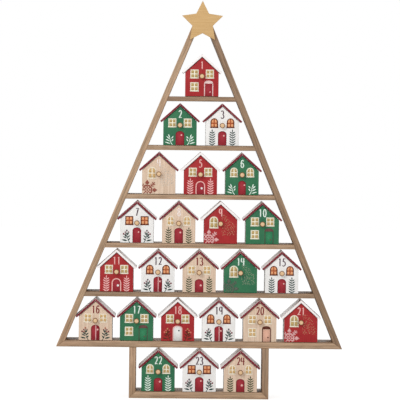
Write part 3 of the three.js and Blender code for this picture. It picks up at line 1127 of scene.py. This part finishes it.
def snowfall(flake_colour, dot_colour, seed):
    """The big flake with two rings round its middle, and dots over the rest of the front where
    neither the knob nor the roof covers it. There is one dot somewhere in each cell of a
    grid, and its step of coat follows from its column and row, each counted in threes."""
    shapes = [part for degrees in range(0, 360, ARM_TURN) for part in flake_arm(degrees, flake_colour)]
    for radius, first, last in FLAKE_RINGS:
        ring = arc(FLAKE_MIDDLE, (radius, radius), first, last, 25)
        shapes.append(brush_line(ring, RING_LINE, flake_colour, 2))
    shapes.append(patch(dot(*FLAKE_MIDDLE, FLAKE_HUB), flake_colour))
    chance = np.random.default_rng(seed)
    cells = np.stack(np.meshgrid(*map(np.arange, SNOW_CELLS)), axis=-1).reshape(-1, 2)
    x, z = (SNOW_CORNER + SNOW_STEP * (cells + chance.uniform(0, 1, cells.shape))).T
    radii = chance.uniform(*SNOW_RADII, len(cells))
    coats = 1 + COAT_STEP * (cells % 3 @ (1, 3))
    free = (x + z * GABLE_SLANT < GABLE_REACH) & (np.hypot(x, z - KNOB_HEIGHT) > KNOB_CLEAR)
    free &= x < half_house - SNOW_STEP
    return shapes + [patch(dot(*place, SNOW_AROUND), dot_colour, coat)
                     for *place, coat in zip(x[free], z[free], radii[free], coats[free])]


print("shapes in one snowfall:", len(snowfall("slate", "lichen", 14)))

# %% [markdown]
# ## Numbers
# The numbers are tall, narrow and hand-lettered with a flat pen: strokes that run up and
# down are thick, and those across are thin. Each digit is a few strokes in a box about one
# wide and one high, made of straight lines, arcs and curves, so the pen's width can follow
# from the stroke's direction.

# %% Digits
DIGITS = {
    "0": [arc((0.5, 0.5), (0.46, 0.5), 90, 450, 25)],
    "1": [straight((0.5, 0), (0.5, 1), 5), curve((0.46, 0.98), (0.36, 0.9), (0.16, 0.86), 5)],
    "2": [np.vstack([arc((0.47, 0.74), (0.42, 0.26), 165, -20, 13),
                     curve((0.86, 0.64), (0.62, 0.34), (0.04, 0.02), 8)[1:]]),
          curve((0.02, 0.03), (0.5, 0.14), (1.0, 0.05), 6)],
    "3": [arc((0.42, 0.76), (0.4, 0.24), 150, -88, 14), arc((0.42, 0.26), (0.5, 0.27), 88, -150, 16)],
    "4": [straight((0.8, 0), (0.8, 1), 6), straight((0.08, 1.0), (-0.12, 0.5), 6),
          straight((-0.14, 0.5), (1.2, 0.52), 4)],
    "5": [curve((0.18, 0.97), (0.55, 1.02), (0.88, 0.92), 5), straight((0.2, 0.98), (0.16, 0.56), 5),
          arc((0.34, 0.31), (0.54, 0.31), 118, -138, 18)],
    "6": [arc((0.5, 0.31), (0.44, 0.31), 0, 360, 21),
          np.vstack([curve((0.06, 0.32), (0.06, 0.98), (0.6, 1.0), 9),
                     curve((0.6, 1.0), (0.8, 0.99), (0.88, 0.84), 4)[1:]])],
    "7": [straight((0.04, 0.97), (0.96, 0.97), 4), curve((0.95, 0.98), (0.55, 0.5), (0.3, 0), 8)],
    "8": [arc((0.5, 0.76), (0.38, 0.24), 0, 360, 19), arc((0.5, 0.27), (0.46, 0.27), 0, 360, 21)],
    "9": [arc((0.36, 0.7), (0.42, 0.29), 0, 360, 21), straight((0.82, 0), (0.82, 1), 6)],
}
DIGIT_WIDE, DIGIT_HIGH, DIGIT_STEP = 4.2, 11.4, 6.3
PEN_THICK, PEN_THIN = 1.65, 1.0
NUMBER_MIDDLE, NUMBER_BASE = 0.2, 41.0
print("digits drawn:", "".join(DIGITS))

# %% Number painter
def number_on(number, colour):
    """The digits side by side about the front's middle. A stroke's width goes from thin to
    thick with the share of its direction that is upright."""
    digits = str(number)
    middles = (np.arange(len(digits)) - (len(digits) - 1) / 2) * DIGIT_STEP
    shapes = []
    for digit, middle in zip(digits, middles):
        for order, stroke in enumerate(DIGITS[digit]):
            path = (stroke - (0.5, 0)) * (DIGIT_WIDE, DIGIT_HIGH) + (middle + NUMBER_MIDDLE, NUMBER_BASE)
            direction = np.gradient(path, axis=0)
            upright = np.abs(direction[:, 1]) / np.linalg.norm(direction, axis=1)
            width = PEN_THIN + (PEN_THICK - PEN_THIN) * upright
            shapes.append(brush_line(path, width, colour, 2 + COAT_STEP * order))
    return shapes


print("strokes in 24:", len(number_on(24, "plum")))

# %% [markdown]
# ## Which house gets what
# Each number has its own design, and the front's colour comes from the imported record, so
# the first table lists only the design. The colours of numbers, plants, town houses and
# snow go with the front's paint, and each has a small table of its own.

# %% Designs
COTTAGES = {
    # number: round-topped windows, plant, door, its half-width and top, and the handle's
    # place and radius
    2: (False, "spray", "solid", 6.5, 21.5, (2.3, 15.5, 1.3)),
    3: (True, "laurel", "solid", 6.4, 22.0, (2.3, 15.0, 1.3)),
    5: (False, "laurel", "outlined", 6.4, 19.6, (2.0, 9.5, 1.7)),
    6: (True, "spray", "solid", 5.7, 21.5, (3.5, 15.0, 1.2)),
    7: (False, "berries", "solid", 6.5, 23.5, (2.5, 16.5, 1.3)),
    8: (True, "laurel", "solid", 6.5, 23.3, (2.5, 16.5, 1.5)),
    11: (False, "laurel", "outlined", 6.4, 19.6, (2.3, 9.5, 1.8)),
    12: (True, "berries", "double", 6.5, 23.5, (3.3, 16.3, 1.4)),
    13: (False, "laurel", "solid", 6.4, 20.2, (2.5, 10.8, 1.6)),
    15: (True, "laurel", "solid", 6.4, 21.8, (3.0, 14.5, 1.3)),
    16: (False, "berries", "double", 6.5, 23.5, (3.3, 16.3, 1.4)),
    18: (False, "berries", "white", 7.4, 23.6, (2.0, 16.0, 1.2)),
    19: (True, "berries", "double", 6.5, 23.4, (3.3, 16.3, 1.4)),
    22: (True, "laurel", "solid", 6.4, 20.8, (2.8, 15.0, 1.6)),
    23: (False, "berries", "solid", 6.4, 22.5, (2.5, 16.5, 1.3)),
    24: (True, "laurel", "solid", 6.4, 20.2, (2.3, 10.5, 1.8)),
}
TOWN_HOUSES = (1, 10, 17, 20)
SNOW_HOUSES = (4, 9, 14, 21)
# Two numbers are painted paler than the others on beige fronts.
PALE_NUMBERS = (4, 8)
NUMBER_COLOURS = {"front_red": "blush", "front_green": "mint", "front_white": "plum",
                  "front_beige": "wine"}
LAUREL_COLOURS = {"front_red": "holly_pink", "front_green": "mint", "front_white": "sage",
                  "front_beige": "olive"}
BRANCH_COLOURS = {"front_red": ("bark", "holly", "ochre"), "front_white": ("fir", "berry", "plum"),
                  "front_beige": ("fir", "berry", "clay")}
TOWN_COLOURS = {"front_red": ("shell", "door_red", "shell", "blush"),
                "front_green": ("bottle", "moss", "umber", "umber"),
                "front_beige": ("bark", "salmon", "bark", "bark")}
SNOW_COLOURS = {"front_red": ("rose", "sand"), "front_green": ("slate", "lichen"),
                "front_beige": ("cocoa", "ash")}
print("designs:", len(COTTAGES) + len(TOWN_HOUSES) + len(SNOW_HOUSES))

# %% Cottage, town house and snow house
# Left, bottom, right and top of each window.
TOWN_WINDOWS = ((-17.4, 26.8, -5.0, 40.3), (5.6, 26.8, 17.8, 40.3), (-17.4, 7.4, -5.0, 21.2))
SNOW_WINDOW = (-16.6, 23.0, -3.6, 41.0)


def cottage(number, paint):
    """Two windows over a door, with a plant on each side of it."""
    round_top, plant, kind, half, top, handle = COTTAGES[number]
    shapes = paired_windows(round_top, paint)
    if kind == "outlined":
        shapes += outlined_door(half, top, handle)
    elif kind == "white":
        shapes += solid_door(half, top, handle, ("blush", "snow", "sage"))
    else:
        shapes += solid_door(half, top, handle, double=kind == "double")
    if plant == "laurel":
        return shapes + laurel(LAUREL_COLOURS[paint])
    if plant == "spray":
        return shapes + spray("mint")
    return shapes + berry_branch(*BRANCH_COLOURS[paint])


def town_house(paint):
    """Three square windows, and a door under a canopy where the fourth would be."""
    shapes = [part for place in TOWN_WINDOWS for part in window(*place, False, paint)]
    return shapes + canopy_door(*TOWN_COLOURS[paint])


def snow_house(number, paint):
    """One round-topped window, with a snowflake under it and snow beside it."""
    return window(*SNOW_WINDOW, True, paint) + snowfall(*SNOW_COLOURS[paint], seed=number)


def design(number, paint):
    """All that is painted on one front, with its number."""
    if number in COTTAGES:
        shapes = cottage(number, paint)
    elif number in TOWN_HOUSES:
        shapes = town_house(paint)
    else:
        shapes = snow_house(number, paint)
    return shapes + number_on(number, "pearl" if number in PALE_NUMBERS else NUMBER_COLOURS[paint])


print("a cottage has", len(design(2, "front_green")), "painted shapes")

# %% [markdown]
# ## Twenty-four houses
# Every house is the same set of parts moved to its place on a shelf, which its packed case
# gives. Their corners are moved, and not the objects, so every object stays at the origin,
# where its pattern can't slide. Case and roof ride with the tree; the front, tray, knob and
# paintwork ride with the drawer. The red houses keep white roof edges, and all the others
# have red ones.

# %% Build the houses
EDGE_EASE_MM = 0.35
slot_of = {part["node"]: part["material_slot"] for part in frame["record"]["subparts"]}


def house(number):
    """The six pieces of one house, in place. Its paintwork carries only the paints that it
    uses, so their numbers are counted anew."""
    label, body = f"house_{number:02d}", f"drawer_{number:02d}"
    case_node, drawer_node = label + "_case", label + "_drawer"
    low, high = node_box(case_node)
    place = np.array([(low[0] + high[0]) / 2, low[1] + OVERHANG, low[2]])
    paint = slot_of[drawer_node]
    trim = white_roof if paint == "front_red" else red_trim
    shapes = design(number, paint)
    used = sorted({int(shape.finishes[0]) for shape in shapes})
    for shape in shapes:
        shape.finishes[:] = used.index(shape.finishes[0])
    paints = [craft_paints[PAINT_NAMES[paint_number]] for paint_number in used]

    def make(suffix, parts, *rest):
        return piece(label + suffix, [part.moved(place) for part in parts], *rest)

    boards_made = [
        make("_walls", walls(), [white_case], "tree", "case_paint", [case_node]),
        make("_roof", roof(), [white_roof, trim], "tree", "case_paint", [case_node]),
        make("_front", drawer_front(), [front_paints[paint], raw_plywood], body, paint, [drawer_node]),
        make("_tray", tray(), [raw_plywood], body, None, [drawer_node]),
    ]
    for board_made in boards_made:
        eased(board_made, EDGE_EASE_MM)
    turned = make("_knob", [knob()], [beech], body, None, [drawer_node])
    turned.data.shade_smooth()
    set_turned(turned)
    make("_paintwork", shapes, paints, body)
    return len(shapes)


painted_shapes = [house(number) for number in range(1, 25)]
print("houses:", len(painted_shapes), "painted shapes:", sum(painted_shapes))

# %% [markdown]
# ## Light and ground
# The picture was taken in an even white studio. A soft lamp in front, above and to the
# left gives the roofs and shelves their shade, a larger and weaker one fills the other
# side, and the world lights the rest. The ground looks white to the camera through Light
# Path, while it still takes the object's soft shadow.

# %% Lamps
LAMP_AIM = Vector((0, 0, 0.3))


def soft_lamp(name, place, size, power):
    """A square area lamp turned towards the object."""
    data = bpy.data.lights.new(name, "AREA")
    data.size = size
    data.energy = power
    lamp = bpy.data.objects.new(name, data)
    lamp.location = place
    lamp.rotation_euler = (LAMP_AIM - Vector(place)).to_track_quat("-Z", "Y").to_euler()
    bpy.context.scene.collection.objects.link(lamp)
    return lamp


key = soft_lamp("key_softbox", (-1.1, -2.6, 1.5), 0.9, 26)
fill = soft_lamp("fill_softbox", (1.5, -2.4, 0.9), 1.6, 8)
print("lamps, W:", key.data.energy, fill.data.energy)

# %% World
WORLD_STRENGTH = 0.66


def seen_directly(tree):
    """1 where a camera, mirror-like or see-through ray meets the surface, and 0 elsewhere."""
    path = add(tree, "LightPath")
    either = add(tree, "Math", {0: path.outputs["Is Camera Ray"], 1: path.outputs["Is Glossy Ray"]},
                 operation="MAXIMUM")
    return add(tree, "Math", {0: either.outputs[0], 1: path.outputs["Is Transmission Ray"]},
               operation="MAXIMUM").outputs[0]


world = bpy.data.worlds.new("studio")
world.use_nodes = True
sky = world.node_tree
sky.nodes.clear()
lighting = add(sky, "Background", {"Color": WHITE, "Strength": WORLD_STRENGTH})
backdrop = add(sky, "Background", {"Color": WHITE, "Strength": 1.0})
shown = add(sky, "MixShader", {0: seen_directly(sky), 1: lighting.outputs[0], 2: backdrop.outputs[0]})
add(sky, "OutputWorld", {"Surface": shown.outputs[0]})
bpy.context.scene.world = world
print("world strength:", WORLD_STRENGTH)

# %% Ground
GROUND_HALF = 6.0
GLOW = 0.82

ground_material, ground_tree = finish("white_ground")
paper = add(ground_tree, "BsdfDiffuse", {"Color": linear("#e8e8e8")})
shadowed = add(ground_tree, "BsdfDiffuse", {"Color": linear("#a0a0a0")})
glow = add(ground_tree, "Emission", {"Color": WHITE, "Strength": GLOW})
bright = add(ground_tree, "AddShader", {0: shadowed.outputs[0], 1: glow.outputs[0]})
ground_seen = add(ground_tree, "MixShader", {0: seen_directly(ground_tree), 1: paper.outputs[0],
                                             2: bright.outputs[0]})
add(ground_tree, "OutputMaterial", {"Surface": ground_seen.outputs[0]})

ground_mesh = bpy.data.meshes.new("ground")
square = rectangle(-GROUND_HALF, -GROUND_HALF, GROUND_HALF, GROUND_HALF)
ground_mesh.from_pydata([(x, y, 0) for x, y in square], [], [(0, 1, 2, 3)])
ground_mesh.materials.append(ground_material)
ground = bpy.data.objects.new("ground", ground_mesh)
bpy.context.scene.collection.objects.link(ground)
bpy.context.scene.view_settings.view_transform = "Standard"
print("ground half-width, metres:", GROUND_HALF)
